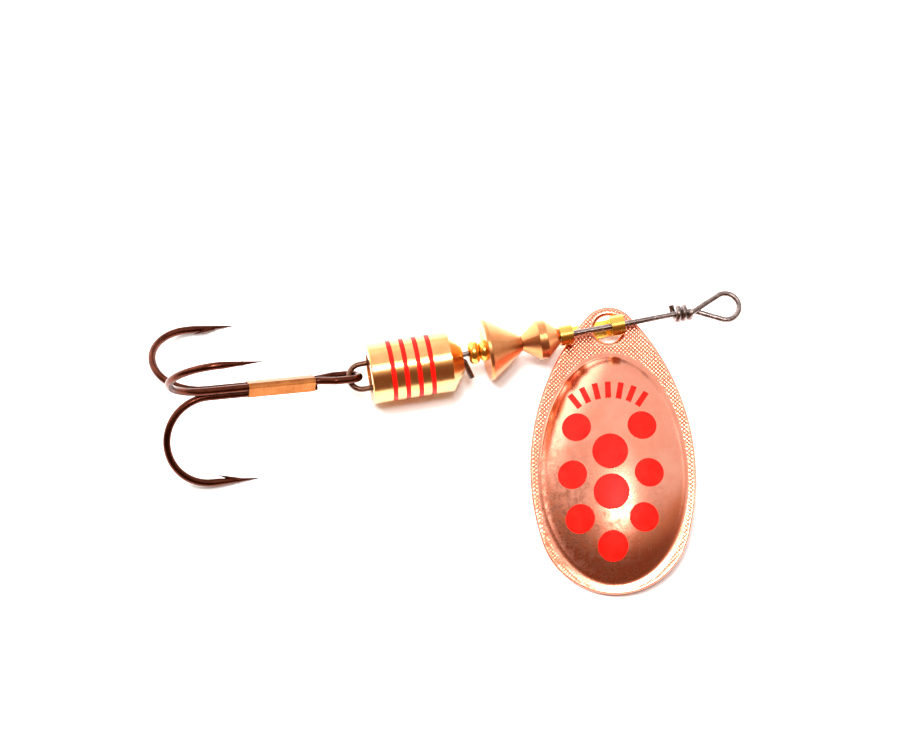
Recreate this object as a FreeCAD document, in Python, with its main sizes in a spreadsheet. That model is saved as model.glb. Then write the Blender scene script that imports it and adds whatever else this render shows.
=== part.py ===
"""Inline spinner: a wire shaft with a treble hook, a turned brass weight, beads and a blade on a clevis.

It lies on a surface as it would on a bench. +X runs along the shaft from the hook to the line eye,
+Z is up, and the blade points towards -Y. The origin is the middle of the footprint, on the surface.
Lengths are in millimetres and angles in degrees.
"""

import FreeCAD
import Part
import os
from math import asin, atan2, cos, pi, radians, sin, sqrt, tan

import Sketcher
from FreeCAD import Placement, Rotation, Vector

doc = FreeCAD.newDocument("InlineSpinner")

# ---------------------------------------------------------------- driving dimensions

DIMENSIONS = [
    # where the shaft lies: the zero of every station along it is just inside the bell
    ("bell_x", 4.078),
    ("shaft_y", 9.233),
    ("shaft_height", 3.2),
    # wire
    ("wire_diameter", 0.6),
    ("pair_spacing", 0.62),
    ("loop_station", -14.95),
    ("loop_width", 2.7),
    ("loop_shoulder", -12.5),
    ("loop_neck", -10.3),
    ("tag_station", -2.86),
    ("tag_end", -2.3),
    ("tag_reach", 1.7),
    ("tag_drop", 1.1),
    ("wrap_start", 21.5),
    ("wrap_pitch", 0.63),
    ("wrap_turns", 2.5),
    ("wrap_gap", 0.02),
    ("cut_end_reach", 1.15),
    ("eye_station", 25.3),
    ("eye_offset", -0.2),
    ("eye_radius", 1.43),
    ("eye_leg_station", 21.9),
    # weight body
    ("weight_station", -12.8),
    ("weight_diameter", 6.36),
    ("weight_cylinder", 8.45),
    ("weight_length", 9.8),
    ("weight_nose_radius", 1.45),
    ("weight_bore_radius", 0.86),
    ("weight_recess_radius", 2.05),
    ("weight_recess_depth", 2.5),
    ("weight_recess_cone", 0.8),
    ("weight_yaw", -1.8),
    ("weight_edge", 0.12),
    ("ring_first", 2.0),
    ("ring_pitch", 1.35),
    ("ring_width", 0.5),
    ("ring_depth", 0.3),
    ("ring_sink", 0.06),
    ("ring_count", 4),
    # beads and bell
    ("bead_bore_radius", 0.36),
    ("rear_bead_station", -2.28),
    ("rear_bead_diameter", 2.4),
    ("rear_bead_length", 1.14),
    ("front_bead_station", -1.12),
    ("front_bead_diameter", 2.2),
    ("front_bead_length", 1.1),
    ("bell_diameter", 6.4),
    ("bell_station", -0.45),
    ("bell_length", 3.85),
    ("bell_rim", 0.4),
    ("bell_nose_radius", 0.82),
    ("bell_dish", 0.5),
    ("bell_face", 0.35),
    ("bicone_station", 3.44),
    ("bicone_length", 4.0),
    ("bicone_diameter", 4.1),
    ("bicone_end_radius", 0.8),
    ("bicone_rear_cone", 1.75),
    ("bicone_band", 0.82),
    # clevis
    ("clevis_station", 7.5),
    ("cuff_diameter", 2.1),
    ("cuff_length", 1.35),
    ("cuff_bore_radius", 0.38),
    ("clevis_length", 6.85),
    ("strap_width", 1.7),
    ("strap_thickness", 0.35),
    ("strap_depth", 2.5),
    ("strap_bend", 0.4),
    ("strap_lean", 0.05),
    ("strap_inset", 0.33),
    ("strap_shoulder", 0.72),
    ("clevis_roll", 12),
    # blade
    ("blade_station", 12.905),
    ("blade_side", 0.177),
    ("blade_height", 1.62),
    ("blade_yaw", -10.68),
    ("blade_pitch", 1.81),
    ("blade_roll", -5),
    ("blade_length", 30.55),
    ("blade_thickness", 0.5),
    ("tab_radius", 3.04),
    ("tip_radius", 7.86),
    ("side_radius", 25.1),
    ("hole_radius", 1.53),
    ("hole_from_top", 2.35),
    ("dome_top", 5.5),
    ("dome_wide", 18.3),
    ("dome_bottom", 29.25),
    ("dome_width", 15),
    ("dome_height", 2.5),
    ("dome_sink", 0.8),
    ("enamel_thickness", 0.08),
    # enamel marks, placed down the blade from its top and out from its middle
    ("pair_1_down", 13.24),
    ("pair_1_out", 3.4),
    ("pair_2_down", 18.3),
    ("pair_2_out", 3.97),
    ("pair_3_down", 22.94),
    ("pair_3_out", 3.3),
    ("pair_dot_radius", 1.5),
    ("middle_1_down", 16.0),
    ("middle_2_down", 20.26),
    ("middle_dot_radius", 1.85),
    ("last_down", 25.83),
    ("last_dot_radius", 1.57),
    ("marks_shift", -0.27),
    ("rays_down", 15.7),
    ("rays_radius", 5.5),
    ("ray_length", 1.8),
    ("ray_width", 0.6),
    ("ray_step", 11),
    ("ray_count", 7),
    # treble hook
    ("hook_wire_diameter", 0.8),
    ("hook_slope", 8.95),
    ("hook_yaw", 3.0),
    ("hook_roll", -0.13),
    ("hook_gap", 9.12),
    ("hook_bend", -15.15),
    ("hook_tip", -10.15),
    ("upper_tip_back", 0.45),
    ("hook_point_length", 4.3),
    ("single_hook_ahead", 0.25),
    ("hook_eye_front", 1.02),
    ("hook_eye_half_width", 1.14),
    ("hook_eye_rear", -3.35),
    ("braze_rear", -10.75),
    ("braze_front", -3.75),
    ("braze_skin", 0.06),
    ("barb_back", 4.5),
    ("barb_height", 0.78),
    ("barb_length", 2.3),
    ("barb_radius", 0.28),
    ("sharp_radius", 0.02),
]

sheet = doc.addObject("Spreadsheet::Sheet", "Dims")
for row, (alias, value) in enumerate(DIMENSIONS, start=1):
    sheet.set(f"A{row}", alias.replace("_", " "))
    sheet.set(f"B{row}", str(value))
    sheet.setAlias(f"B{row}", alias)
doc.recompute()


def dim(alias):
    """The value of one driving dimension."""
    return float(sheet.get(alias))


def bind(thing, **sizes):
    """Ties properties to expressions in the driving dimensions."""
    for name, expression in sizes.items():
        thing.setExpression(name, expression)


def add(kind, name, **sizes):
    """Adds a Part object whose sizes follow the sheet."""
    made = doc.addObject(kind, name)
    bind(made, **sizes)
    return made


AXIS = Vector(dim("bell_x"), dim("shaft_y"), dim("shaft_height"))
ALONG_SHAFT = Rotation(Vector(0, 0, 1), Vector(1, 0, 0))


def station(along, side=0, up=0):
    """A point given from the shaft's axis and the zero of the stations."""
    return Vector(along, side, up)


def on_shaft(along, side=0, up=0):
    """The same point in the row's frame."""
    return AXIS + station(along, side, up)


# ---------------------------------------------------------------- bent wire

def rounded_path(points):
    """A wire through (point, corner radius) pairs: straight runs joined by tangent arcs."""
    edges = []
    here = points[0][0]
    for (before, _), (corner, radius), (after, _) in zip(points, points[1:], points[2:]):
        into = (corner - before).normalize()
        out = (after - corner).normalize()
        turn = into.getAngle(out)
        reach = radius * tan(turn / 2)
        start = corner - into * reach
        end = corner + out * reach
        inward = (out - into).normalize()
        middle = corner + inward * (radius / cos(turn / 2) - radius)
        if (start - here).Length > 1e-4:
            edges.append(Part.makeLine(here, start))
        edges.append(Part.Arc(start, middle, end).toShape())
        here = end
    edges.append(Part.makeLine(here, points[-1][0]))
    return Part.Wire(edges)


def bent_wire(name, points, diameter):
    """Round wire swept along a rounded path. Its thickness follows the sheet."""
    path = doc.addObject("Part::Feature", name + "_path")
    path.Shape = rounded_path(points)
    section = add("Part::Circle", name + "_section", Radius=f"Dims.{diameter} / 2")
    heading = (points[1][0] - points[0][0]).normalize()
    section.Placement = Placement(points[0][0], Rotation(Vector(0, 0, 1), heading))
    wire = doc.addObject("Part::Sweep", name)
    wire.Sections = [section]
    wire.Spine = (path, [f"Edge{i + 1}" for i in range(len(path.Shape.Edges))])
    wire.Solid = True
    wire.Frenet = False
    wire.Transition = "Right corner"
    return wire


def fused(name, pieces):
    """One solid of several pieces that overlap."""
    whole = doc.addObject("Part::MultiFuse", name)
    whole.Shapes = pieces
    whole.Refine = False
    return whole


def wrap_points(start, reach, corner_angle):
    """Corners of the finishing wraps: a left-handed coil round the shaft, going back from the eye."""
    corners = int(dim("wrap_turns") * 2 * pi / corner_angle + 0.5)
    corner_radius = reach / cos(corner_angle / 2)
    step = dim("wrap_pitch") * corner_angle / (2 * pi)
    points = []
    for number in range(corners):
        angle = (number + 0.5) * corner_angle
        along = start - (number + 0.5) * step
        place = station(along, -corner_radius * sin(angle), corner_radius * cos(angle))
        points.append((place, 0.9 * reach if number else 0.6 * reach))
    return points


def make_wire_shaft():
    """One stainless wire: cut tag, rear loop, straight shaft, line eye, finishing wraps, cut end."""
    spacing = dim("pair_spacing")
    middle = -spacing / 2
    half_loop = dim("loop_width") / 2
    neck_bend = 1.2
    eye = station(dim("eye_station"), dim("eye_offset"))
    eye_radius = dim("eye_radius")
    leg_start = station(dim("eye_leg_station"))
    to_eye = eye - leg_start
    leg_angle = asin(eye_radius / to_eye.Length)
    first = atan2(to_eye.y, to_eye.x) - leg_angle
    turn = (pi + 2 * leg_angle) / 3
    wrap_reach = dim("wire_diameter") + dim("wrap_gap")
    wrap_end = dim("wrap_start") - dim("wrap_pitch") * dim("wrap_turns")

    points = [
        (station(dim("tag_end"), -spacing - dim("tag_reach"), -dim("tag_drop")), 0),
        (station(dim("tag_station"), -spacing), 0.42),
        (station(dim("loop_neck"), -spacing), neck_bend),
        (station(dim("loop_shoulder"), middle - half_loop), neck_bend),
        (station(dim("loop_station"), middle - half_loop), 0.98 * half_loop),
        (station(dim("loop_station"), middle + half_loop), 0.98 * half_loop),
        (station(dim("loop_shoulder"), middle + half_loop), neck_bend),
        (station(dim("loop_neck")), neck_bend),
        (leg_start, neck_bend),
    ]
    for corner in range(3):
        heading = first + (corner + 0.5) * turn
        outward = Vector(sin(heading), -cos(heading), 0)
        points.append((eye + outward * (eye_radius / cos(turn / 2)), 0.97 * eye_radius))
    points += wrap_points(dim("wrap_start"), wrap_reach, radians(60))
    points.append((station(wrap_end - 0.1, 0.5, -wrap_reach), 0.3))
    points.append((station(wrap_end - 0.15, dim("cut_end_reach"), 0.3 - wrap_reach), 0))
    wire = bent_wire("wire_shaft", points, "wire_diameter")
    wire.Placement.Base = AXIS
    return wire


# ---------------------------------------------------------------- turned pieces

def origin_plane(body, role):
    """One of a body's own origin planes."""
    return next(part for part in body.Origin.OriginFeatures if part.Role == role)


def sketch_on(body, name, role="XZ_Plane"):
    """A sketch on one of the body's origin planes."""
    sketch = body.newObject("Sketcher::SketchObject", name)
    sketch.AttachmentSupport = [(origin_plane(body, role), "")]
    sketch.MapMode = "FlatFace"
    return sketch


def closed_outline(sketch, corners):
    """A closed outline through corners given as (station, radius) expressions."""
    doc.recompute()
    values = [(sheet_value(x), sheet_value(r)) for x, r in corners]
    count = len(corners)
    for i, (x, r) in enumerate(values):
        nx, nr = values[(i + 1) % count]
        sketch.addGeometry(Part.LineSegment(Vector(x, r, 0), Vector(nx, nr, 0)), False)
    for i in range(count):
        sketch.addConstraint(Sketcher.Constraint("Coincident", i, 2, (i + 1) % count, 1))
    for i, (across, up) in enumerate(corners):
        for kind, axis, expression, value in (
            ("DistanceX", -2, across, values[i][0]),
            ("DistanceY", -1, up, values[i][1]),
        ):
            if abs(value) < 1e-9:
                sketch.addConstraint(Sketcher.Constraint("PointOnObject", i, 1, axis))
                continue
            index = sketch.addConstraint(Sketcher.Constraint(kind, -1, 1, i, 1, value))
            sketch.setExpression(f"Constraints[{index}]", expression)


def sheet_value(expression):
    """What an expression in the driving dimensions comes to."""
    return float(sheet.evalExpression(expression))


def turned(name, corners):
    """A body turned about its own X axis from a profile of (station, radius) expressions."""
    body = doc.addObject("PartDesign::Body", name)
    profile = sketch_on(body, name + "_profile")
    closed_outline(profile, corners)
    turning = body.newObject("PartDesign::Revolution", name + "_turning")
    turning.Profile = profile
    turning.ReferenceAxis = (profile, ["H_Axis"])
    turning.Angle = 360
    body.Tip = turning
    profile.Visibility = False
    doc.recompute()
    return body, turning


def outer_rims(shape, radius, places):
    """Names of the circular edges of one radius at the given places along the axis."""
    names = []
    for index, edge in enumerate(shape.Edges, start=1):
        curve = edge.Curve
        if not isinstance(curve, Part.Circle) or abs(curve.Radius - radius) > 1e-6:
            continue
        if any(abs(curve.Center.x - place) < 1e-6 for place in places):
            names.append(f"Edge{index}")
    return names


def round_edges(body, base, radius_expression, radius, places):
    """Rounds the outer rims of a turned body."""
    fillet = body.newObject("PartDesign::Fillet", body.Name + "_rounding")
    fillet.Base = (base, outer_rims(base.Shape, radius, places))
    fillet.setExpression("Radius", radius_expression)
    body.Tip = fillet
    doc.recompute()
    return fillet


def make_weight_body():
    """The turned brass weight: cylinder with a conical nose, through bore, rear recess and rings."""
    body, turning = turned(
        "weight_body",
        [
            ("0", "Dims.weight_recess_radius"),
            ("0", "0.5 * Dims.weight_diameter"),
            ("Dims.weight_cylinder", "0.5 * Dims.weight_diameter"),
            ("Dims.weight_length", "Dims.weight_nose_radius"),
            ("Dims.weight_length", "Dims.weight_bore_radius"),
            ("Dims.weight_recess_depth", "Dims.weight_bore_radius"),
            ("Dims.weight_recess_depth - Dims.weight_recess_cone", "Dims.weight_recess_radius"),
        ],
    )
    rounding = round_edges(body, turning, "Dims.weight_edge", dim("weight_diameter") / 2, [0])
    first = "Dims.ring_first"
    deep = "0.5 * Dims.weight_diameter - Dims.ring_depth"
    proud = "0.5 * Dims.weight_diameter + 0.2"
    cutter = sketch_on(body, "ring_profile")
    closed_outline(
        cutter,
        [
            (first, deep),
            (first, proud),
            (first + " + Dims.ring_width", proud),
            (first + " + Dims.ring_width", deep),
        ],
    )
    before = rounding.Shape.Volume
    groove = body.newObject("PartDesign::Groove", "ring_groove")
    groove.Profile = cutter
    groove.ReferenceAxis = (cutter, ["H_Axis"])
    groove.Angle = 360
    doc.recompute()
    pattern = body.newObject("PartDesign::LinearPattern", "ring_grooves")
    pattern.Originals = [groove]
    pattern.Direction = (cutter, ["H_Axis"])
    bind(pattern, Length="(Dims.ring_count - 1) * Dims.ring_pitch", Occurrences="Dims.ring_count")
    body.Tip = pattern
    doc.recompute()
    ring_area = pi * dim("weight_diameter") * dim("ring_width") * dim("ring_depth")
    removed = before - pattern.Shape.Volume
    assert removed > 0.8 * dim("ring_count") * ring_area, "the ring grooves are not cut"
    body.Placement = weight_place()
    return body


def weight_place():
    """Where the weight's rear face sits: around both strands of wire, a little askew on them."""
    middle = -dim("pair_spacing") / 2
    half_length = dim("weight_length") / 2
    turn = Rotation(Vector(0, 0, 1), dim("weight_yaw"))
    centre = on_shaft(dim("weight_station") + half_length, middle)
    return Placement(centre - turn.multVec(Vector(half_length, 0, 0)), turn)


def make_ring_enamel():
    """Red enamel in the weight's grooves, a hair below the brass."""
    rings = []
    for i in range(int(dim("ring_count"))):
        sizes = dict(Height="Dims.ring_width")
        outer = add(
            "Part::Cylinder",
            f"enamel_outer_{i}",
            Radius="0.5 * Dims.weight_diameter - Dims.ring_sink",
            **sizes,
        )
        inner = add(
            "Part::Cylinder",
            f"enamel_inner_{i}",
            Radius="0.5 * Dims.weight_diameter - Dims.ring_depth",
            **sizes,
        )
        start = dim("ring_first") + i * dim("ring_pitch")
        for cylinder in (outer, inner):
            cylinder.Placement = Placement(Vector(start, 0, 0), ALONG_SHAFT)
        ring = doc.addObject("Part::Cut", f"enamel_ring_{i}")
        ring.Base = outer
        ring.Tool = inner
        rings.append(ring)
    enamel = doc.addObject("Part::Compound", "ring_enamel")
    enamel.Links = rings
    enamel.Placement = weight_place()
    return enamel


def make_bead(name):
    """A small brass bead: a short barrel with well rounded ends."""
    length = f"Dims.{name}_length"
    diameter = f"Dims.{name}_diameter"
    body, turning = turned(
        name,
        [
            ("0", "Dims.bead_bore_radius"),
            ("0", f"0.5 * {diameter}"),
            (length, f"0.5 * {diameter}"),
            (length, "Dims.bead_bore_radius"),
        ],
    )
    ends = [0, dim(name + "_length")]
    round_edges(body, turning, f"0.44 * {length}", dim(name + "_diameter") / 2, ends)
    body.Placement.Base = on_shaft(dim(name + "_station"))
    return body


def make_bell():
    """The bell: a brass cone, wide end to the rear, its rear face slightly dished."""
    radius = "0.5 * Dims.bell_diameter"
    body, turning = turned(
        "bell_cone",
        [
            ("Dims.bell_dish", "Dims.bead_bore_radius"),
            ("0", radius + " - Dims.bell_face"),
            ("0", radius),
            ("Dims.bell_rim", radius),
            ("Dims.bell_length", "Dims.bell_nose_radius"),
            ("Dims.bell_length", "Dims.bead_bore_radius"),
        ],
    )
    ends = [0, dim("bell_rim")]
    round_edges(body, turning, "0.25 * Dims.bell_rim", dim("bell_diameter") / 2, ends)
    body.Placement.Base = on_shaft(dim("bell_station"))
    return body


def make_bicone():
    """The bicone bead, with a flat band round its middle."""
    radius = "0.5 * Dims.bicone_diameter"
    body, turning = turned(
        "bicone_bead",
        [
            ("0", "Dims.bead_bore_radius"),
            ("0", "Dims.bicone_end_radius"),
            ("Dims.bicone_rear_cone", radius),
            ("Dims.bicone_rear_cone + Dims.bicone_band", radius),
            ("Dims.bicone_length", "Dims.bicone_end_radius"),
            ("Dims.bicone_length", "Dims.bead_bore_radius"),
        ],
    )
    start = dim("bicone_rear_cone")
    ends = [start, start + dim("bicone_band")]
    round_edges(body, turning, "0.1 * Dims.bicone_band", dim("bicone_diameter") / 2, ends)
    body.Placement.Base = on_shaft(dim("bicone_station"))
    return body


# ---------------------------------------------------------------- clevis

def make_clevis():
    """The brass clevis: two cuffs on the shaft, joined by a strap bent into a bow below it."""
    length = dim("clevis_length")
    cuff = dim("cuff_length")
    seat = -(dim("cuff_diameter") - dim("strap_thickness")) / 2
    low = -dim("strap_depth")
    bend = dim("strap_bend")
    lean = dim("strap_lean")
    inset = dim("strap_inset")
    shoulder = dim("strap_shoulder")
    strap_points = [
        (Vector(inset, 0, seat), 0),
        (Vector(shoulder, 0, seat), bend),
        (Vector(shoulder + lean, 0, low), bend),
        (Vector(length - shoulder - lean, 0, low), bend),
        (Vector(length - shoulder, 0, seat), bend),
        (Vector(length - inset, 0, seat), 0),
    ]
    path = doc.addObject("Part::Feature", "strap_path")
    path.Shape = rounded_path(strap_points)
    section = doc.addObject("Sketcher::SketchObject", "strap_section")
    closed_outline_centred(section, "Dims.strap_width", "Dims.strap_thickness")
    facing = Rotation(Vector(0, 1, 0), Vector(0, 0, 1), Vector(1, 0, 0), "ZXY")
    section.Placement = Placement(strap_points[0][0], facing)
    strap = doc.addObject("Part::Sweep", "strap")
    strap.Sections = [section]
    strap.Spine = (path, [f"Edge{i + 1}" for i in range(len(path.Shape.Edges))])
    strap.Solid = True
    strap.Frenet = False
    strap.Transition = "Right corner"

    cuffs = []
    for side, start in (("rear", 0), ("front", length - cuff)):
        sleeve = add(
            "Part::Cylinder",
            side + "_cuff",
            Radius="Dims.cuff_diameter / 2",
            Height="Dims.cuff_length",
        )
        sleeve.Placement = Placement(Vector(start, 0, 0), ALONG_SHAFT)
        cuffs.append(sleeve)
    solid = fused("clevis_blank", [strap] + cuffs)
    bore = add(
        "Part::Cylinder",
        "clevis_bore",
        Radius="Dims.cuff_bore_radius",
        Height="Dims.clevis_length",
    )
    bore.Placement = Placement(Vector(0, 0, 0), ALONG_SHAFT)
    clevis = doc.addObject("Part::Cut", "clevis")
    clevis.Base = solid
    clevis.Tool = bore
    turn = Rotation(Vector(1, 0, 0), dim("clevis_roll"))
    clevis.Placement = Placement(on_shaft(dim("clevis_station")), turn)
    return clevis


def closed_outline_centred(sketch, width, height):
    """A rectangle about the sketch's origin."""
    w = sheet_value(width) / 2
    h = sheet_value(height) / 2
    corners = [Vector(-w, -h, 0), Vector(w, -h, 0), Vector(w, h, 0), Vector(-w, h, 0)]
    for i, corner in enumerate(corners):
        sketch.addGeometry(Part.LineSegment(corner, corners[(i + 1) % 4]), False)
    for i in range(4):
        sketch.addConstraint(Sketcher.Constraint("Coincident", i, 2, (i + 1) % 4, 1))
    for i, kind in enumerate(("Horizontal", "Vertical", "Horizontal", "Vertical")):
        sketch.addConstraint(Sketcher.Constraint(kind, i))
    sketch.addConstraint(Sketcher.Constraint("Symmetric", 0, 1, 2, 1, -1, 1))
    for kind, edge, size, expression in (
        ("DistanceX", 0, 2 * w, width),
        ("DistanceY", 1, 2 * h, height),
    ):
        index = sketch.addConstraint(Sketcher.Constraint(kind, edge, 1, edge, 2, size))
        sketch.setExpression(f"Constraints[{index}]", expression)


# ---------------------------------------------------------------- blade

def blade_place():
    """Where the blade's hole lies, and how the blade leans on the clevis."""
    turn = (
        Rotation(Vector(0, 0, 1), dim("blade_yaw"))
        * Rotation(Vector(1, 0, 0), dim("blade_pitch"))
        * Rotation(Vector(0, 1, 0), dim("blade_roll"))
    )
    base = AXIS + Vector(dim("blade_station"), dim("blade_side"), 0)
    base.z = dim("blade_height")
    return Placement(base, turn)


def blade_outline(body):
    """The blade's outline: four tangent arcs, the hole's centre at the origin."""
    top = Vector(0, dim("hole_from_top") - dim("tab_radius"), 0)
    bottom_y = dim("hole_from_top") - dim("blade_length") + dim("tip_radius")
    bottom = Vector(0, bottom_y, 0)
    big = dim("side_radius")
    to_top = big - dim("tab_radius")
    to_bottom = big - dim("tip_radius")
    span = top.y - bottom.y
    down = (to_top**2 - to_bottom**2 + span**2) / (2 * span)
    across = sqrt(to_top**2 - down**2)
    sketch = sketch_on(body, "blade_outline", "XY_Plane")
    circle = Part.Circle
    up = Vector(0, 0, 1)
    shoulder = atan2(down, across)
    hip = atan2(down - span, across)
    centre_y = top.y - down
    arcs = [
        (top, dim("tab_radius"), shoulder, pi - shoulder),
        (Vector(across, centre_y, 0), big, pi - shoulder, pi - hip),
        (bottom, dim("tip_radius"), pi - hip, 2 * pi + hip),
        (Vector(-across, centre_y, 0), big, hip, shoulder),
    ]
    for centre, radius, start, end in arcs:
        sketch.addGeometry(Part.ArcOfCircle(circle(centre, up, radius), start, end), False)
    for before, after in ((0, 1), (1, 2), (2, 3), (3, 0)):
        sketch.addConstraint(Sketcher.Constraint("Tangent", before, 2, after, 1))
    tip_drop = "Dims.blade_length - Dims.tip_radius - Dims.hole_from_top"
    sizes = [
        ("Radius", (0, dim("tab_radius")), "Dims.tab_radius"),
        ("Radius", (1, big), "Dims.side_radius"),
        ("Radius", (2, dim("tip_radius")), "Dims.tip_radius"),
        ("DistanceY", (0, 3, -1, 1, -top.y), "Dims.tab_radius - Dims.hole_from_top"),
        ("DistanceY", (2, 3, -1, 1, -bottom.y), tip_drop),
    ]
    sketch.addConstraint(Sketcher.Constraint("Equal", 1, 3))
    sketch.addConstraint(Sketcher.Constraint("PointOnObject", 0, 3, -2))
    sketch.addConstraint(Sketcher.Constraint("PointOnObject", 2, 3, -2))
    for kind, arguments, expression in sizes:
        index = sketch.addConstraint(Sketcher.Constraint(kind, *arguments))
        sketch.setExpression(f"Constraints[{index}]", expression)
    return sketch


def dome_solid(name, grow, base):
    """The blade's dome: two half ellipsoid caps that meet at its widest place.

    grow is added to every half axis, and base is how far above the ellipsoid's middle the cap starts.
    """
    halves = []
    rise = f"(Dims.dome_height + Dims.dome_sink + {grow})"
    section = "sqrt(1 - (Dims.dome_sink / (Dims.dome_height + Dims.dome_sink))^2)"
    lengths = {
        "upper": "(Dims.dome_wide - Dims.dome_top)",
        "lower": "(Dims.dome_bottom - Dims.dome_wide)",
    }
    for part, length in lengths.items():
        cap = add(
            "Part::Ellipsoid",
            f"{name}_{part}",
            Radius1=rise,
            Radius2=f"Dims.dome_width / 2 / {section} + {grow}",
            Radius3=f"{length} / {section} + {grow}",
            Angle1=f"asin({base} / {rise})",
        )
        cap.Angle3 = 180
        start = 0 if part == "upper" else 180
        cap.Placement = Placement(dome_centre(), Rotation(Vector(0, 0, 1), start))
        halves.append(cap)
    return fused(name, halves)


def dome_centre():
    """The middle of the dome's ellipsoid, below the blade's upper face."""
    along = dim("hole_from_top") - dim("dome_wide")
    return Vector(0, along, dim("blade_thickness") / 2 - dim("dome_sink"))


def make_blade():
    """The copper blade: a flat flange with a pierced tab, and a dome raised inside it."""
    plate = doc.addObject("PartDesign::Body", "blade_plate")
    outline = blade_outline(plate)
    pad = plate.newObject("PartDesign::Pad", "blade_pad")
    pad.Profile = outline
    pad.Midplane = True
    bind(pad, Length="Dims.blade_thickness")
    doc.recompute()
    circle = sketch_on(plate, "hole_outline", "XY_Plane")
    circle.addGeometry(Part.Circle(Vector(0, 0, 0), Vector(0, 0, 1), dim("hole_radius")), False)
    circle.addConstraint(Sketcher.Constraint("Coincident", 0, 3, -1, 1))
    index = circle.addConstraint(Sketcher.Constraint("Radius", 0, dim("hole_radius")))
    circle.setExpression(f"Constraints[{index}]", "Dims.hole_radius")
    hole = plate.newObject("PartDesign::Pocket", "blade_hole")
    hole.Profile = circle
    hole.Type = "ThroughAll"
    hole.Midplane = True
    plate.Tip = hole
    doc.recompute()
    assert hole.Shape.Volume < pad.Shape.Volume - 1, "the blade's hole is not cut"

    raised = fused("blade_raised", [plate, dome_solid("dome_outer", "0", "(Dims.dome_sink - 0.1)")])
    blade = doc.addObject("Part::Cut", "blade")
    blade.Base = raised
    blade.Tool = dome_solid("dome_hollow", "(-Dims.blade_thickness)", "0")
    blade.Placement = blade_place()
    return blade


STAMP_HEIGHT = 10


def enamel_on_dome(name, stamps):
    """A thin layer of enamel on the dome, where upright stamps meet it."""
    grown = dome_solid(name + "_skin", "Dims.enamel_thickness", "(Dims.dome_sink + 0.1)")
    dome = dome_solid(name + "_under", "0", "0")
    marks = []
    for number, stamp in enumerate(stamps):
        cap = doc.addObject("Part::Common", f"{name}_cap_{number}")
        cap.Base = stamp
        cap.Tool = grown
        mark = doc.addObject("Part::Cut", f"{name}_mark_{number}")
        mark.Base = cap
        mark.Tool = dome
        marks.append(mark)
    enamel = doc.addObject("Part::Compound", name)
    enamel.Links = marks
    enamel.Placement = blade_place()
    return enamel


def make_blade_dots():
    """The round enamel dots: three down the middle and three pairs beside them."""
    spots = []
    for row in (1, 2, 3):
        for side in (-1, 1):
            spots.append((f"pair_{row}_down", side * dim(f"pair_{row}_out"), "pair_dot_radius"))
    spots.append(("middle_1_down", 0, "middle_dot_radius"))
    spots.append(("middle_2_down", 0, "middle_dot_radius"))
    spots.append(("last_down", 0, "last_dot_radius"))
    stamps = []
    for number, (down, out, radius) in enumerate(spots):
        stamp = add("Part::Cylinder", f"dot_{number}", Radius=f"Dims.{radius}")
        stamp.Height = STAMP_HEIGHT
        stamp.Placement.Base = Vector(out + dim("marks_shift"), dim("hole_from_top") - dim(down), 0)
        stamps.append(stamp)
    return enamel_on_dome("blade_dots", stamps)


def make_blade_rays():
    """A fan of plain enamel rays above the dots."""
    centre = Vector(dim("marks_shift"), dim("hole_from_top") - dim("rays_down"), 0)
    middle = (dim("ray_count") - 1) / 2
    stamps = []
    for number in range(int(dim("ray_count"))):
        stamp = add("Part::Box", f"ray_{number}", Length="Dims.ray_width", Width="Dims.ray_length")
        stamp.Height = STAMP_HEIGHT
        turn = Rotation(Vector(0, 0, 1), (middle - number) * dim("ray_step"))
        corner = Vector(-dim("ray_width") / 2, dim("rays_radius"), 0)
        stamp.Placement = Placement(centre + turn.multVec(corner), turn)
        stamps.append(stamp)
    return enamel_on_dome("blade_rays", stamps)


# ---------------------------------------------------------------- treble hook

UPPER_ARM = 90
FAR_ARM = -30
NEAR_ARM = 210
SHANK_GAP = 0.003
SHANK_OFFSET = dim("hook_wire_diameter") / sqrt(3) + SHANK_GAP


def spoke(angle):
    """The direction of one arm out from the shank's axis."""
    return Vector(0, cos(radians(angle)), sin(radians(angle)))


def hook_place():
    """The hook hangs by its eye on the rear loop, two of its points on the surface."""
    turn = (
        Rotation(Vector(0, 0, 1), -dim("hook_yaw"))
        * Rotation(Vector(0, 1, 0), dim("hook_slope"))
        * Rotation(Vector(1, 0, 0), dim("hook_roll"))
    )
    return Placement(on_shaft(dim("loop_station"), -dim("pair_spacing") / 2), turn)


def arm_points(angle, ahead, tip_along):
    """One arm from the root of its point, round the bend, to the start of its shank."""
    out = spoke(angle)
    half_gap = dim("hook_gap") / 2
    left = dim("hook_bend") + ahead - half_gap
    far = SHANK_OFFSET + dim("hook_gap")
    root = tip_along - dim("hook_point_length")
    return [
        (Vector(root, 0, 0) + out * far, 0),
        (Vector(left, 0, 0) + out * far, 0.999 * half_gap),
        (Vector(left, 0, 0) + out * SHANK_OFFSET, 0.999 * half_gap),
    ]


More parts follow.
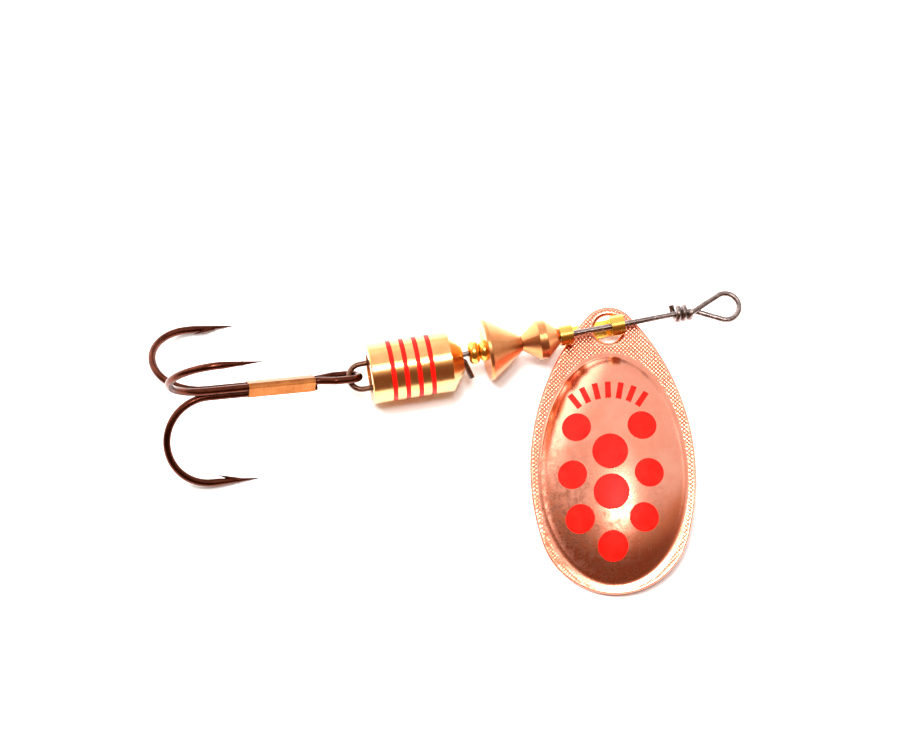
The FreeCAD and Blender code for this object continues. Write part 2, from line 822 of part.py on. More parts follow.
def point_and_barb(name, angle, tip_along):
    """The tapered point of an arm, and the barb that stands back from it on its inner side."""
    out = spoke(angle)
    far = SHANK_OFFSET + dim("hook_gap")
    tip = Vector(tip_along, 0, 0) + out * far
    point = add(
        "Part::Cone",
        name + "_point",
        Radius1="Dims.hook_wire_diameter / 2",
        Height="Dims.hook_point_length",
    )
    bind(point, Radius2="Dims.sharp_radius")
    point.Placement = Placement(tip - Vector(dim("hook_point_length"), 0, 0), ALONG_SHAFT)
    root = tip - Vector(dim("barb_back") - dim("barb_length"), 0, 0)
    end = tip - Vector(dim("barb_back"), 0, 0) - out * dim("barb_height")
    barb = add(
        "Part::Cone",
        name + "_barb",
        Radius1="Dims.barb_radius",
        Radius2="Dims.sharp_radius",
    )
    barb.Height = (end - root).Length
    barb.Placement = Placement(root, Rotation(Vector(0, 0, 1), end - root))
    return [point, barb]


def make_hook_pair():
    """Two arms bent from one wire, whose middle makes the hook's eye."""
    first = spoke(UPPER_ARM)
    second = spoke(FAR_ARM)
    far_tip = dim("hook_tip")
    upper_tip = far_tip - dim("upper_tip_back")
    middle = (first + second) * (SHANK_OFFSET / 2)
    across = (first - second).normalize()
    near = SHANK_OFFSET * sqrt(3) / 2
    wide = dim("hook_eye_half_width")
    rear = dim("hook_eye_rear")
    front = dim("hook_eye_front")
    half_eye = [
        (Vector(rear, 0, 0) + middle + across * near, 1.5),
        (Vector(rear / 2, 0, 0) + middle + across * wide, 1.0),
        (Vector(front, 0, 0) + middle + across * wide, 0.98 * wide),
    ]
    other_half = [
        (Vector(front, 0, 0) + middle - across * wide, 0.98 * wide),
        (Vector(rear / 2, 0, 0) + middle - across * wide, 1.0),
        (Vector(rear, 0, 0) + middle - across * near, 1.5),
    ]
    upper_arm = arm_points(UPPER_ARM, 0, upper_tip)
    far_arm = arm_points(FAR_ARM, 0, far_tip)
    points = upper_arm + half_eye + other_half + far_arm[::-1]
    wire = bent_wire("pair_wire", points, "hook_wire_diameter")
    tips = point_and_barb("upper", UPPER_ARM, upper_tip)
    tips += point_and_barb("far", FAR_ARM, far_tip)
    pair = fused("hook_pair", [wire] + tips)
    pair.Placement = hook_place()
    return pair


def make_hook_single():
    """The third arm: a hook of its own, brazed beside the pair."""
    ahead = dim("single_hook_ahead")
    shank_end = Vector(dim("braze_front") + 0.3, 0, 0) + spoke(NEAR_ARM) * SHANK_OFFSET
    tip = dim("hook_tip") + ahead
    points = arm_points(NEAR_ARM, ahead, tip) + [(shank_end, 0)]
    wire = bent_wire("single_wire", points, "hook_wire_diameter")
    single = fused("hook_single", [wire] + point_and_barb("near", NEAR_ARM, tip))
    single.Placement = hook_place()
    return single


def make_hook_braze():
    """The braze that joins the three shanks: a thin rounded triangle around them."""
    length = dim("braze_front") - dim("braze_rear")
    reach = "(Dims.hook_wire_diameter / 2 + Dims.braze_skin)"
    offset = f"Dims.hook_wire_diameter / sqrt(3) + {SHANK_GAP}"
    start = Vector(dim("braze_rear"), 0, 0)
    corner = Rotation(spoke(UPPER_ARM), Vector(0, -1, 0), Vector(1, 0, 0), "ZXY")
    triangle = add(
        "Part::Prism",
        "braze_triangle",
        Circumradius=f"{offset} + 2 * {reach}",
        Height="Dims.braze_front - Dims.braze_rear",
    )
    triangle.Polygon = 3
    triangle.Placement = Placement(start, corner)
    round_bar = add(
        "Part::Cylinder",
        "braze_round",
        Radius=f"{offset} + {reach}",
        Height="Dims.braze_front - Dims.braze_rear",
    )
    round_bar.Placement = Placement(start, ALONG_SHAFT)
    bar = doc.addObject("Part::Common", "braze_bar")
    bar.Base = triangle
    bar.Tool = round_bar
    shanks = []
    for angle in (UPPER_ARM, FAR_ARM, NEAR_ARM):
        shank = add(
            "Part::Cylinder",
            f"braze_shank_{angle % 360}",
            Radius="Dims.hook_wire_diameter / 2",
        )
        shank.Height = length + 2
        shank.Placement = Placement(
            start - Vector(1, 0, 0) + spoke(angle) * SHANK_OFFSET, ALONG_SHAFT
        )
        shanks.append(shank)
    braze = doc.addObject("Part::Cut", "hook_braze")
    braze.Base = bar
    braze.Tool = fused("braze_shanks", shanks)
    braze.Placement = hook_place()
    return braze


# ---------------------------------------------------------------- build and write

PIECES = [
    make_wire_shaft(),
    make_weight_body(),
    make_ring_enamel(),
    make_bead("rear_bead"),
    make_bead("front_bead"),
    make_bell(),
    make_bicone(),
    make_clevis(),
    make_blade(),
    make_blade_dots(),
    make_blade_rays(),
    make_hook_pair(),
    make_hook_single(),
    make_hook_braze(),
]
doc.recompute()

for thing in doc.Objects:
    faults = [state for state in thing.State if state in ("Invalid", "Error")]
    if faults:
        raise RuntimeError(f"{thing.Name} did not build: {faults}")

os.makedirs("parts", exist_ok=True)
whole = FreeCAD.BoundBox()
for piece in PIECES:
    piece.Label = piece.Name
    if piece.Shape.isNull() or not piece.Shape.isValid():
        raise RuntimeError(f"{piece.Label} has no valid shape")
    box = piece.Shape.BoundBox
    whole.add(box)
    solids = len(piece.Shape.Solids)
    print(f"{piece.Label:14s} {solids} solid(s) {piece.Shape.Volume:9.3f} mm3, lowest {box.ZMin:6.3f}")
    piece.Shape.exportStep(f"parts/{piece.Label}.step")
centre = whole.Center
print(f"size {whole.XLength:.2f} x {whole.YLength:.2f} x {whole.ZLength:.2f} mm")
print(f"middle {centre.x:.3f}, {centre.y:.3f}, lowest {whole.ZMin:.3f}")
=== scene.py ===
"""Looks of the inline spinner: its metals and enamel, the knurled blade, the studio and the camera.

Lengths below are in millimetres, in the row frame: +X along the shaft to the line eye, +Z up.
"""

from math import atan2, cos, pi, radians, sin, sqrt, tan

import bpy
import numpy as np
from mathutils import Matrix, Vector
from mathutils.geometry import delaunay_2d_cdt


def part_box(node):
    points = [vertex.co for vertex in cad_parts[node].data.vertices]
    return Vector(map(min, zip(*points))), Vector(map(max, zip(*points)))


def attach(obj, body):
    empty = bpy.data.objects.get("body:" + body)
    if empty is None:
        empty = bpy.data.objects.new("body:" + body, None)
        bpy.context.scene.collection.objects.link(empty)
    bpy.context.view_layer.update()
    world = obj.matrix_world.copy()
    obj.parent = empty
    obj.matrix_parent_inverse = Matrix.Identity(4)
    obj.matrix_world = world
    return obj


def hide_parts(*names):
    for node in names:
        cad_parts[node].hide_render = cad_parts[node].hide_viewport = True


MM = 0.001

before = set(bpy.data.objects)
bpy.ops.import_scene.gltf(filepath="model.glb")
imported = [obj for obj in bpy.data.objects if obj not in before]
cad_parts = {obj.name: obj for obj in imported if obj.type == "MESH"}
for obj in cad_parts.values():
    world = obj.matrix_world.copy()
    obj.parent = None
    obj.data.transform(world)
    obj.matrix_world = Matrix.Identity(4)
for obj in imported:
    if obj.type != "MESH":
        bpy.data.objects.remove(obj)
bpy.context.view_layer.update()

bell_low, bell_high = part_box("bell_cone")
# Where the bell's nose stands, ahead of the zero of the blade's place below.
BELL_NOSE = 3.4
AXIS = Vector((bell_high[0], (bell_low[1] + bell_high[1]) / 2, (bell_low[2] + bell_high[2]) / 2)) / MM
AXIS.x -= BELL_NOSE


# ---------------------------------------------------------------- sizes of the blade

BLADE_HOLE = AXIS + Vector((12.905, 0.177, 1.62 - 3.2))
BLADE_YAW = -10.68
BLADE_PITCH = 1.81
BLADE_ROLL = -5
BLADE_LENGTH = 30.55
BLADE_THICKNESS = 0.5
TAB_RADIUS = 3.04
TIP_RADIUS = 7.86
SIDE_RADIUS = 25.1
HOLE_RADIUS = 1.53
HOLE_FROM_TOP = 2.35
DOME_TOP = 5.5
DOME_WIDE = 18.3
DOME_BOTTOM = 29.25
DOME_HALF_WIDTH = 7.5
DOME_HEIGHT = 2.5
DOME_SINK = 0.8
KNURL_PITCH = 0.42
KNURL_HEIGHT = 0.03
KNURL_STEPS = 5
BAND_FROM = 17
BAND_FADE = 6
BAND_WIDTH = 0.62
BAND_SLOPE = 0.13
DOME_CLEAR = 0.3
DOME_FADE = 0.12
EDGE_CLEAR = 0.22
EDGE_FADE = 0.1
HOLE_CLEAR = 0.3
HOLE_FADE = 0.12
HOLE_EASE = 0.25
FOOT_BLEND = 0.3
EDGE_ROUND = 0.14

# How finely the blade is meshed.
RIM_SPACING = 0.12
HOLE_POINTS = 96
FOOT_POINTS = 420
FOOT_RINGS = (0.985, 1, 1.012, 1.025, 1.038)
DOME_RINGS = 34
DOME_LEAST = 60
DOME_MORE = 260
GRID_HALF = 10
GRID_FROM_EDGE = 0.27
GRID_FROM_FOOT = 1.045

# Angles past which an edge stays crisp.
CRISP = 28
BLADE_CRISP = 50


# ---------------------------------------------------------------- node helpers

class Nodes:
    """Builds one material's node tree."""

    def __init__(self, tree):
        self.tree = tree
        self.tree.nodes.clear()

    def add(self, kind, values=None, **settings):
        """A node with settings on it and values or links on its inputs."""
        node = self.tree.nodes.new(kind)
        for name, value in settings.items():
            setattr(node, name, value)
        for name, value in (values or {}).items():
            self.put(node.inputs[name], value)
        return node

    def put(self, socket, value):
        """Sets an input, or links it if the value is an output."""
        if isinstance(value, bpy.types.NodeSocket):
            self.tree.links.new(value, socket)
        else:
            socket.default_value = value

    def coordinates(self):
        """Positions on the object, in millimetres."""
        place = self.add("ShaderNodeTexCoord")
        scaled = self.add("ShaderNodeVectorMath", {0: place.outputs["Object"]}, operation="SCALE")
        scaled.inputs["Scale"].default_value = 1 / MM
        return scaled.outputs[0]

    def stretched(self, where, scale, turn=(0, 0, 0)):
        """Coordinates turned and scaled."""
        values = {"Vector": where, "Scale": scale, "Rotation": turn}
        return self.add("ShaderNodeMapping", values).outputs[0]

    def noise(self, where, scale, detail=3.0, roughness=0.55):
        """A grey noise value."""
        values = {"Vector": where, "Scale": scale, "Detail": detail, "Roughness": roughness}
        return self.add("ShaderNodeTexNoise", values).outputs[0]

    def ramp(self, value, *stops):
        """A colour ramp through (place, colour) stops."""
        node = self.add("ShaderNodeValToRGB", {0: value})
        points = node.color_ramp.elements
        while len(points) < len(stops):
            points.new(1.0)
        for point, (place, colour) in zip(points, stops):
            point.position = place
            point.color = shade(colour)
        return node.outputs[0]

    def maths(self, operation, first, second=0.0):
        """One sum of two values."""
        return self.add("ShaderNodeMath", {0: first, 1: second}, operation=operation).outputs[0]

    def mix(self, amount, first, second, blend="MIX"):
        """Two colours mixed."""
        node = self.add("ShaderNodeMix", data_type="RGBA", blend_type=blend)
        self.put(node.inputs[0], amount)
        self.put(node.inputs[6], first)
        self.put(node.inputs[7], second)
        return node.outputs[2]

    def bump(self, height, strength, distance, normal=None):
        """A normal from a height."""
        values = {"Height": height, "Strength": strength, "Distance": distance * MM}
        if normal is not None:
            values["Normal"] = normal
        return self.add("ShaderNodeBump", values).outputs[0]

    def surface(self, **values):
        """The finished Principled surface."""
        named = {name.replace("_", " "): value for name, value in values.items()}
        shader = self.add("ShaderNodeBsdfPrincipled", named)
        output = self.add("ShaderNodeOutputMaterial")
        self.tree.links.new(shader.outputs[0], output.inputs[0])


def shade(colour):
    """A grey or a colour as four numbers."""
    if isinstance(colour, (int, float)):
        return (colour, colour, colour, 1)
    return (*colour, 1)


def material(name):
    """A new material and its node builder."""
    made = bpy.data.materials.new(name)
    made.use_nodes = True
    return made, Nodes(made.node_tree)


# ---------------------------------------------------------------- materials

def metal(name, light, dark, roughness, wear=0.5, scratch=0.3, grain=(1, 1, 1), stain=0.35):
    """Bare metal: its colour drifts between light and dark, with fine scratches along one way."""
    made, nodes = material(name)
    where = nodes.coordinates()
    clouds = nodes.noise(where, 0.55, 5, 0.6)
    fine = nodes.noise(nodes.stretched(where, grain), 6.0, 4, 0.7)
    specks = nodes.noise(where, 5.0, 3, 0.7)
    drift = nodes.ramp(clouds, (0.5 - stain, 0), (0.5 + stain, 1))
    colour = nodes.mix(drift, shade(dark), shade(light))
    dull = nodes.ramp(specks, (0.55, 0), (0.75, 1))
    worn = nodes.maths("MULTIPLY", dull, wear)
    colour = nodes.mix(worn, colour, shade([0.55 * part for part in dark]))
    rough = nodes.maths("MULTIPLY_ADD", fine, 0.12)
    rough.node.inputs[2].default_value = roughness
    rough = nodes.maths("ADD", rough, nodes.maths("MULTIPLY", worn, 0.25))
    normal = nodes.bump(fine, scratch, 0.01)
    nodes.surface(Base_Color=colour, Metallic=1.0, Roughness=rough, Normal=normal)
    return made


def wire_steel():
    """Drawn stainless wire, with painted reflection: darker and browner towards the rear loop, standing
    for the dark surroundings it mirrors there.
    """
    made, nodes = material("stainless_wire")
    where = nodes.coordinates()
    along = nodes.add("ShaderNodeSeparateXYZ", {0: where}).outputs[0]
    # Painted reflection: the steel's colour turns dark brown towards the rear loop to stand for the dark
    # surroundings reflected there.
    painted_dark_share = nodes.add("ShaderNodeMapRange", {0: along, 1: AXIS.x - 6, 2: AXIS.x - 13})
    clouds = nodes.noise(where, 1.6, 4, 0.65)
    streaks = nodes.noise(nodes.stretched(where, (0.5, 6, 6)), 3.0, 4, 0.7)
    steel = nodes.ramp(clouds, (0.3, (0.15, 0.11, 0.10)), (0.7, (0.40, 0.31, 0.29)))
    brown = nodes.ramp(clouds, (0.3, (0.08, 0.035, 0.02)), (0.7, (0.24, 0.12, 0.08)))
    colour = nodes.mix(painted_dark_share.outputs[0], steel, brown)
    rough = nodes.maths("MULTIPLY_ADD", streaks, 0.2)
    rough.node.inputs[2].default_value = 0.18
    normal = nodes.bump(streaks, 0.3, 0.01)
    nodes.surface(Base_Color=colour, Metallic=1.0, Roughness=rough, Normal=normal)
    return made


def enamel():
    """Glossy red enamel, a little uneven."""
    made, nodes = material("red_enamel")
    where = nodes.coordinates()
    clouds = nodes.noise(where, 0.9, 4, 0.6)
    colour = nodes.ramp(clouds, (0.3, (0.64, 0.004, 0.002)), (0.7, (0.80, 0.009, 0.005)))
    ripple = nodes.noise(where, 2.5, 2, 0.5)
    normal = nodes.bump(ripple, 0.15, 0.03)
    rough = nodes.maths("MULTIPLY_ADD", clouds, 0.1)
    rough.node.inputs[2].default_value = 0.28
    nodes.surface(Base_Color=colour, Roughness=rough, Normal=normal, Specular_IOR_Level=0.1)
    return made


def blade_copper():
    """Polished copper with handling scratches and brown mottling low on the left of the dome."""
    made, nodes = material("blade_copper")
    where = nodes.coordinates()
    clouds = nodes.noise(where, 0.35, 6, 0.62)
    mottle = nodes.noise(where, 1.3, 6, 0.75)
    scratches = nodes.noise(nodes.stretched(where, (9, 0.5, 1), (0, 0, radians(8))), 1.6, 5, 0.75)
    crossing = nodes.noise(nodes.stretched(where, (0.6, 8, 1), (0, 0, radians(-25))), 1.6, 5, 0.75)
    base = nodes.ramp(clouds, (0.3, (0.96, 0.31, 0.19)), (0.7, (1.0, 0.41, 0.28)))
    # Darker brown mottling low on the left of the dome, which also makes the copper rougher there.
    low_left = nodes.add("ShaderNodeVectorMath", {0: where, 1: (-4.2, -20.5, 0)}, operation="DISTANCE")
    reach = nodes.add("ShaderNodeMapRange", {0: low_left.outputs["Value"], 1: 11.0, 2: 3.0})
    dark_mottle = nodes.maths("MULTIPLY", reach.outputs[0], nodes.ramp(mottle, (0.42, 0), (0.6, 1)))
    colour = nodes.mix(nodes.maths("MULTIPLY", dark_mottle, 0.75), base, shade((0.22, 0.075, 0.04)))
    # Painted shade: the copper is darkened in the valleys of the knurl, where shade falls.
    knurl_valley_shade = nodes.add("ShaderNodeAttribute", attribute_name="knurl_valley_shade").outputs["Fac"]
    knurl_valley_shade = nodes.maths("MULTIPLY", nodes.ramp(knurl_valley_shade, (0.35, 0), (0.75, 1)), 0.8)
    colour = nodes.mix(knurl_valley_shade, colour, shade((0.55, 0.13, 0.06)))
    fine = nodes.maths("ADD", scratches, crossing)
    rough = nodes.maths("MULTIPLY_ADD", fine, 0.08)
    rough.node.inputs[2].default_value = 0.12
    rough = nodes.maths("ADD", rough, nodes.maths("MULTIPLY", dark_mottle, 0.25))
    normal = nodes.bump(fine, 0.25, 0.008)
    nodes.surface(Base_Color=colour, Metallic=1.0, Roughness=rough, Normal=normal)
    return made


MATERIALS = {
    "stainless_wire": wire_steel(),
    "weight_brass": metal("weight_brass", (1.0, 0.61, 0.27), (0.92, 0.42, 0.13), 0.15,
                          wear=0.3, grain=(14, 0.8, 0.8)),
    "bead_brass": metal("bead_brass", (1.0, 0.63, 0.15), (0.92, 0.48, 0.07), 0.16, wear=0.3),
    "bell_brass": metal("bell_brass", (0.82, 0.36, 0.15), (0.64, 0.22, 0.07), 0.26,
                        wear=0.3, grain=(10, 0.8, 0.8)),
    "blade_copper": blade_copper(),
    "red_enamel": enamel(),
    "hook_bronze": metal("hook_bronze", (0.16, 0.042, 0.022), (0.05, 0.011, 0.006), 0.18, stain=0.25),
    "braze_gold": metal("braze_gold", (0.60, 0.21, 0.06), (0.30, 0.09, 0.025), 0.3, wear=0.9),
}

SLOTS = {
    "wire_shaft": "stainless_wire",
    "weight_body": "weight_brass",
    "ring_enamel": "red_enamel",
    "rear_bead": "bead_brass",
    "front_bead": "bead_brass",
    "bell_cone": "bell_brass",
    "bicone_bead": "bell_brass",
    "clevis": "bead_brass",
    "blade_dots": "red_enamel",
    "blade_rays": "red_enamel",
    "hook_pair": "hook_bronze",
    "hook_single": "hook_bronze",
    "hook_braze": "braze_gold",
}


def dress(piece, slot):
    """Gives a piece its one material and smooth shading that keeps its crisp rims."""
    mesh = piece.data
    mesh.materials.clear()
    mesh.materials.append(MATERIALS[slot])
    mesh.polygons.foreach_set("material_index", [0] * len(mesh.polygons))
    mesh.polygons.foreach_set("use_smooth", [True] * len(mesh.polygons))
    mesh.set_sharp_from_angle(angle=radians(CRISP))


for node, slot in SLOTS.items():
    dress(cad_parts[node], slot)


# ---------------------------------------------------------------- the blade

def outline_arcs():
    """The blade's four tangent arcs as (centre, radius, start, end), going anticlockwise."""
    top = HOLE_FROM_TOP - TAB_RADIUS
    bottom = HOLE_FROM_TOP - BLADE_LENGTH + TIP_RADIUS
    to_top = SIDE_RADIUS - TAB_RADIUS
    to_bottom = SIDE_RADIUS - TIP_RADIUS
    span = top - bottom
    down = (to_top**2 - to_bottom**2 + span**2) / (2 * span)
    across = sqrt(to_top**2 - down**2)
    shoulder = atan2(down, across)
    hip = atan2(down - span, across)
    return [
        ((0, top), TAB_RADIUS, shoulder, pi - shoulder),
        ((across, top - down), SIDE_RADIUS, pi - shoulder, pi - hip),
        ((0, bottom), TIP_RADIUS, pi - hip, 2 * pi + hip),
        ((-across, top - down), SIDE_RADIUS, hip, shoulder),
    ]


ARCS = outline_arcs()


def arc_ring(inset, spacing):
    """Points round the outline, moved inward by inset."""
    ring = []
    for (x, y), radius, start, end in ARCS:
        size = radius - inset
        count = max(2, int(abs(end - start) * size / spacing))
        for step in range(count):
            angle = start + (end - start) * step / count
            ring.append((x + size * cos(angle), y + size * sin(angle)))
    return np.array(ring)


def edge_distance(points):
    """How far inside the outline each point lies: the least over the four circles that bound it."""
    depths = [radius - np.hypot(points[:, 0] - x, points[:, 1] - y) for (x, y), radius, _, _ in ARCS]
    sides = np.minimum(depths[1], depths[3])
    top_y = ARCS[0][0][1]
    (_, bottom_y), _, hip, _ = ARCS[2]
    near_top = points[:, 1] > top_y + np.abs(points[:, 0]) * tan(ARCS[0][2])
    near_tip = points[:, 1] < bottom_y + np.abs(points[:, 0]) * tan(pi - hip)
    depth = np.where(near_top, depths[0], sides)
    return np.where(near_tip, depths[2], depth)


SECTION = sqrt(1 - (DOME_SINK / (DOME_HEIGHT + DOME_SINK)) ** 2)


def dome_share(points, shrink=0.0):
    """One at the rim of the ellipsoid's waist and zero at the dome's middle."""
    down = HOLE_FROM_TOP - points[:, 1] - DOME_WIDE
    length = np.where(down < 0, DOME_WIDE - DOME_TOP, DOME_BOTTOM - DOME_WIDE) / SECTION - shrink
    half = DOME_HALF_WIDTH / SECTION - shrink
    return (down / length) ** 2 + (points[:, 0] / half) ** 2


def dome_ring(scale, count):
    """Points round the dome's foot, scaled about its middle."""
    ring = []
    for step in range(count):
        angle = 2 * pi * step / count
        length = DOME_WIDE - DOME_TOP if sin(angle) > 0 else DOME_BOTTOM - DOME_WIDE
        x = scale * DOME_HALF_WIDTH * cos(angle)
        ring.append((x, HOLE_FROM_TOP - DOME_WIDE + scale * length * sin(angle)))
    return np.array(ring)


def knurl(points):
    """Rows of small pyramids, staggered, over the flat of the blade."""
    across = (points[:, 0] + points[:, 1]) / KNURL_PITCH
    along = (points[:, 0] - points[:, 1]) / KNURL_PITCH
    return KNURL_HEIGHT * np.abs(np.sin(pi * across)) * np.abs(np.sin(pi * along))


def from_dome(points):
    """How far outside the dome's foot each point lies, and its share in the smooth lower band."""
    out = (np.sqrt(dome_share(points)) / SECTION - 1) * DOME_HALF_WIDTH
    return out, np.clip((-points[:, 1] - BAND_FROM) / BAND_FADE, 0, 1)


def knurl_share(points):
    """One where the blade is knurled, fading to zero by its edge, its hole, its dome and the band."""
    from_hole = np.hypot(points[:, 0], points[:, 1]) - HOLE_RADIUS
    to_dome, low = from_dome(points)
    share = np.clip((edge_distance(points) - EDGE_CLEAR) / EDGE_FADE, 0, 1)
    share *= np.clip((from_hole - HOLE_CLEAR) / HOLE_FADE, 0, 1)
    smooth = DOME_CLEAR + (BAND_WIDTH - DOME_CLEAR) * low
    return share * np.clip((to_dome - smooth) / DOME_FADE, 0, 1)


def upper_face(points):
    """Height of the blade's upper side."""
    half = BLADE_THICKNESS / 2
    inside = edge_distance(points)
    from_hole = np.hypot(points[:, 0], points[:, 1]) - HOLE_RADIUS
    share = dome_share(points)
    rise = (DOME_HEIGHT + DOME_SINK) * np.sqrt(np.clip(1 - share, 0, None)) - DOME_SINK
    rise = 0.5 * (rise + np.sqrt(rise**2 + FOOT_BLEND**2))
    to_dome, low = from_dome(points)
    fall = BAND_SLOPE * low * np.clip(to_dome, 0, BAND_WIDTH)
    height = half + rise + (knurl(points) - 0.5 * KNURL_HEIGHT) * knurl_share(points) - fall
    rounded = np.clip(EDGE_ROUND - inside, 0, EDGE_ROUND)
    height -= EDGE_ROUND - np.sqrt(np.clip(EDGE_ROUND**2 - rounded**2, 0, None))
    rim = np.clip(HOLE_EASE - from_hole, 0, HOLE_EASE)
    return height - 0.5 * rim**2 / HOLE_EASE


def lower_face(points):
    """Height of the blade's lower side, hollow under the dome."""
    half = BLADE_THICKNESS / 2
    share = dome_share(points, BLADE_THICKNESS)
    rise = (DOME_HEIGHT + DOME_SINK - BLADE_THICKNESS) * np.sqrt(np.clip(1 - share, 0, None))
    height = np.maximum(-half, half - DOME_SINK + rise)
    rounded = np.clip(EDGE_ROUND - edge_distance(points), 0, EDGE_ROUND)
    return height + EDGE_ROUND - np.sqrt(np.clip(EDGE_ROUND**2 - rounded**2, 0, None))


def blade_points():
    """Where the blade's mesh has points, and how many of the first make its outline and its hole."""
    outline = arc_ring(0, RIM_SPACING)
    turns = np.linspace(0, 2 * pi, HOLE_POINTS, endpoint=False)
    circle = np.stack([np.cos(turns), np.sin(turns)], 1)
    hole = circle * HOLE_RADIUS
    loose = [arc_ring(inset, RIM_SPACING) for inset in (0.04, 0.09, 0.15, EDGE_CLEAR)]
    loose += [circle * (HOLE_RADIUS + out) for out in (0.06, 0.14, 0.24)]
    loose += [dome_ring(scale, FOOT_POINTS) for scale in FOOT_RINGS]
    scales = np.sin(np.linspace(0, pi / 2, DOME_RINGS))[1:-1]
    loose += [dome_ring(scale, int(DOME_LEAST + DOME_MORE * scale)) for scale in scales]
    loose.append(dome_ring(0, 1))
    step = KNURL_PITCH / KNURL_STEPS
    columns = np.arange(-GRID_HALF, GRID_HALF, step)
    rows = np.arange(HOLE_FROM_TOP - BLADE_LENGTH, HOLE_FROM_TOP, step)
    grid = np.stack(np.meshgrid(columns, rows), -1).reshape(-1, 2)
    keep = edge_distance(grid) > GRID_FROM_EDGE
    keep &= dome_share(grid) > (SECTION * GRID_FROM_FOOT) ** 2
    keep &= np.hypot(grid[:, 0], grid[:, 1]) > HOLE_RADIUS + HOLE_CLEAR
    loose.append(grid[keep])
    return np.concatenate([outline, hole] + loose), len(outline), len(hole)


def make_blade():
    """The blade as one closed mesh, its knurled flange and its dome in the geometry."""
    points, around, bored = blade_points()
    fences = [(i, (i + 1) % around) for i in range(around)]
    fences += [(around + i, around + (i + 1) % bored) for i in range(bored)]
    flat, _, triangles, _, _, _ = delaunay_2d_cdt([Vector(p) for p in points], fences, [], 0, 1e-6)
    flat = np.array([tuple(p) for p in flat])
    triangles = np.array(triangles)
    middles = flat[triangles].mean(axis=1)
    keep = (edge_distance(middles) > 0) & (np.hypot(middles[:, 0], middles[:, 1]) > HOLE_RADIUS * 0.9995)
    triangles = triangles[keep]
    count = len(flat)
    upper = np.column_stack([flat, upper_face(flat)])
    lower = np.column_stack([flat, lower_face(flat)])
    faces = triangles.tolist() + (triangles[:, ::-1] + count).tolist()
    sides = np.concatenate([triangles[:, [0, 1]], triangles[:, [1, 2]], triangles[:, [2, 0]]])
    known = {tuple(side) for side in sides.tolist()}
    for start, end in known:
        if (end, start) not in known:
            faces.append((end, start, start + count, end + count))
    mesh = bpy.data.meshes.new("blade_skin")
    mesh.from_pydata((np.concatenate([upper, lower]) * MM).tolist(), [], faces)
    mesh.update()
    # How deep each point sits in the knurl's valleys, which drives the painted shade there.
    knurl_valley_shade = mesh.attributes.new("knurl_valley_shade", "FLOAT", "POINT")
    deep = knurl_share(flat) * (1 - knurl(flat) / KNURL_HEIGHT)
    knurl_valley_shade.data.foreach_set("value", np.concatenate([deep, np.zeros(count)]))
    blade = bpy.data.objects.new("blade_skin", mesh)
    bpy.context.scene.collection.objects.link(blade)
    turn = (
        Matrix.Rotation(radians(BLADE_YAW), 4, "Z")
        @ Matrix.Rotation(radians(BLADE_PITCH), 4, "X")
        @ Matrix.Rotation(radians(BLADE_ROLL), 4, "Y")
    )
    blade.matrix_world = Matrix.Translation(BLADE_HOLE * MM) @ turn
    dress(blade, "blade_copper")
    mesh.set_sharp_from_angle(angle=radians(BLADE_CRISP))
    return blade


blade = make_blade()
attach(blade, "blade")
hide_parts("blade")


# ---------------------------------------------------------------- camera, floor and light

def camera_axes(tilt_rear, tilt_near, roll):
    """Right, up and back of a camera above the lure, leaning to the hook and to the blade's tip."""
    back = Vector((-sin(tilt_rear), -cos(tilt_rear) * sin(tilt_near), cos(tilt_rear) * cos(tilt_near)))
    shaft = Vector((1, 0, 0))
    level = (shaft - back * shaft.dot(back)).normalized()
    rise = back.cross(level)
    return (level * cos(roll) - rise * sin(roll), level * sin(roll) + rise * cos(roll), back)


DISTANCE = 400
FOCAL_LENGTH = 153.92
SENSOR = 36
TILT_REAR = 7.2
TILT_NEAR = 15
ROLL = 10.76
AIM_LEFT = 4.0956
AIM_DOWN = 2.6507
right, up, back = camera_axes(radians(TILT_REAR), radians(TILT_NEAR), radians(ROLL))
lens = bpy.data.cameras.new("camera")
lens.sensor_width = SENSOR
lens.lens = FOCAL_LENGTH
lens.clip_start = 0.01
lens.clip_end = 20
camera = bpy.data.objects.new("camera", lens)
bpy.context.scene.collection.objects.link(camera)
place = AXIS + back * DISTANCE
target = AXIS - right * AIM_LEFT - up * AIM_DOWN
away = (place - target).normalized()
side = up.cross(away).normalized()
rising = away.cross(side)
camera.matrix_world = Matrix.Translation(place * MM) @ Matrix((side, rising, away)).transposed().to_4x4()
bpy.context.scene.camera = camera


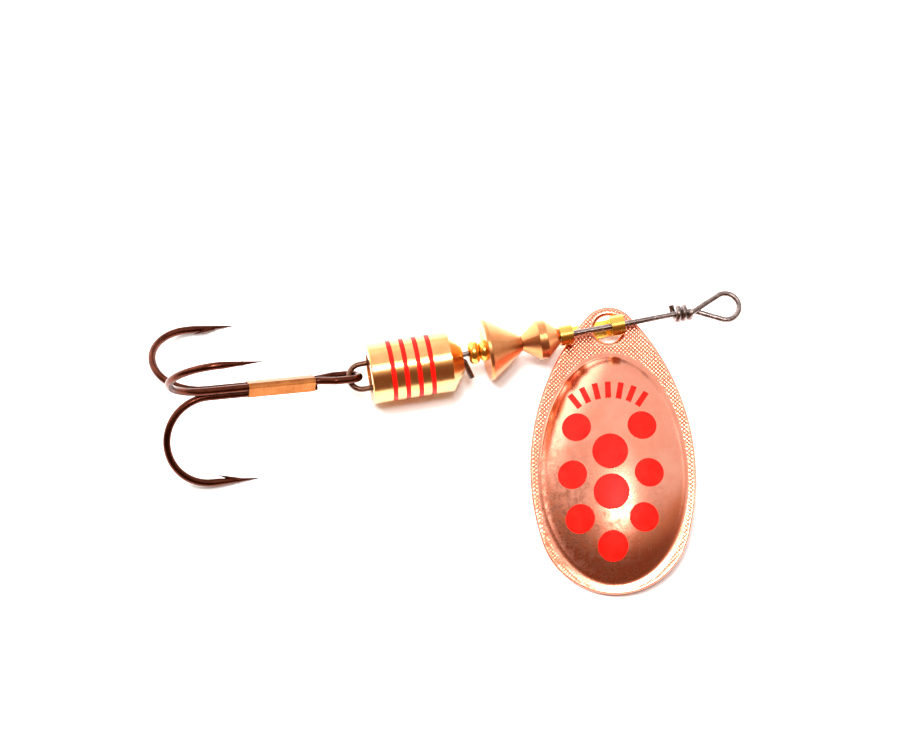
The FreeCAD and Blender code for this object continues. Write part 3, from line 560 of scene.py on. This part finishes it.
def make_floor():
    """A pale sheet that the lure lies on."""
    bpy.ops.mesh.primitive_plane_add(size=3, location=(0, 0, -0.00001))
    floor = bpy.context.object
    floor.name = "floor"
    made, nodes = material("paper")
    where = nodes.coordinates()
    fibres = nodes.noise(where, 0.3, 4, 0.6)
    colour = nodes.ramp(fibres, (0.3, 0.93), (0.7, 0.95))
    nodes.surface(Base_Color=colour, Roughness=0.8)
    floor.data.materials.append(made)


def make_light(name, place, aim, size, power, mirrored=True):
    """A square softbox at a place, facing aim. Both are in metres."""
    made = bpy.data.lights.new(name, "AREA")
    made.size = size
    made.energy = power
    lamp = bpy.data.objects.new(name, made)
    bpy.context.scene.collection.objects.link(lamp)
    lamp.location = place
    lamp.visible_glossy = mirrored
    facing = (Vector(place) - Vector(aim)).to_track_quat("Z", "Y")
    lamp.rotation_euler = facing.to_euler()


def make_world():
    """A studio: a pale window beyond the lure, a lamp beside it and brown dimness in front."""
    world = bpy.data.worlds.new("studio")
    bpy.context.scene.world = world
    world.use_nodes = True
    nodes = Nodes(world.node_tree)
    way = nodes.add("ShaderNodeTexCoord").outputs["Generated"]
    window = (0.20, 0.93, 0.30)
    facing = nodes.add("ShaderNodeVectorMath", {0: way, 1: window}, operation="DOT_PRODUCT")
    facing = nodes.maths("MULTIPLY_ADD", facing.outputs["Value"], 0.5)
    facing.node.inputs[2].default_value = 0.5
    brown = (0.20, 0.09, 0.045)
    amber = (0.60, 0.40, 0.24)
    light = nodes.ramp(facing, (0.1, brown), (0.40, brown), (0.56, amber), (0.63, 0.9), (0.8, 1.0))
    lamp = (-0.48, 0.84, 0.25)
    near_lamp = nodes.add("ShaderNodeVectorMath", {0: way, 1: lamp}, operation="DOT_PRODUCT")
    glow = nodes.ramp(near_lamp.outputs["Value"], (0.80, 0), (0.90, 1))
    light = nodes.mix(glow, light, shade(3.2))
    backdrop = nodes.add("ShaderNodeBackground", {"Color": light, "Strength": 1.0})
    output = nodes.add("ShaderNodeOutputWorld")
    world.node_tree.links.new(backdrop.outputs[0], output.inputs[0])


make_floor()
make_world()
make_light("spark", (0.01, -0.005, 0.60), (0, 0, 0), 0.08, 1.1)
make_light("overhead", (-0.12, 0.20, 0.50), (0, 0, 0), 0.34, 8.0, mirrored=False)

scene = bpy.context.scene
scene.view_settings.view_transform = "Standard"
scene.view_settings.look = "None"
